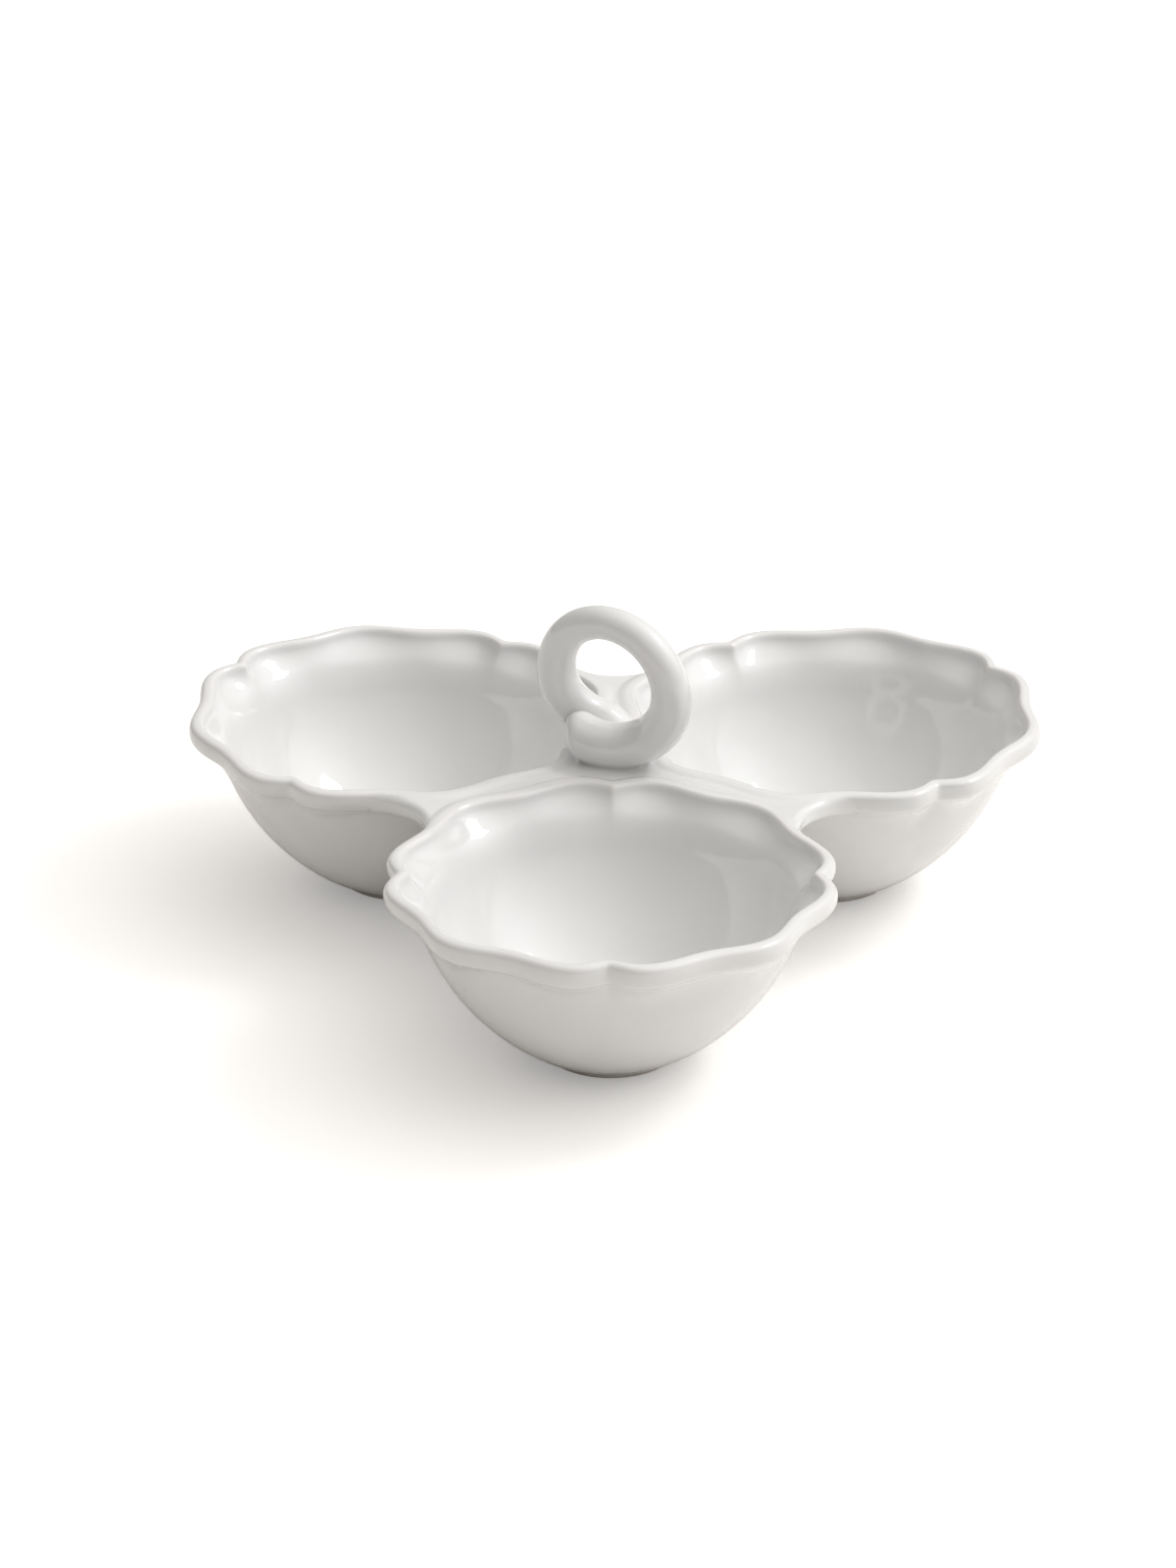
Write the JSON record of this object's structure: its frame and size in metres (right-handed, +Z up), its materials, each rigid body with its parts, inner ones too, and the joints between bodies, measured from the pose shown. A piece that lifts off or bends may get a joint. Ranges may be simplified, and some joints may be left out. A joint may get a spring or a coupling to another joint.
{
  "type": "divided serving bowl",
  "caption": "White glazed ceramic server: scalloped round bowls in a trefoil, bridged at the rim by a web that carries a rolled ring handle.",
  "frame": {"origin": "under the middle of the part's box, on the plane of the foot rings", "axes": "+Z up, -Y towards the front bowl, +X towards the right bowl"},
  "size_m": [0.3308, 0.309, 0.1361],
  "materials": {
    "glaze": "clear gloss over a white body",
    "bare_foot": "unglazed, wiped and fine sanded"
  },
  "bodies": {
    "root": {"front_bowl": "glaze", "left_bowl": "glaze", "right_bowl": "glaze", "front_foot": "bare_foot", "left_foot": "bare_foot", "right_foot": "bare_foot", "web": "glaze", "handle_seat": "glaze", "ring_handle": "glaze"}
  },
  "joints": []
}
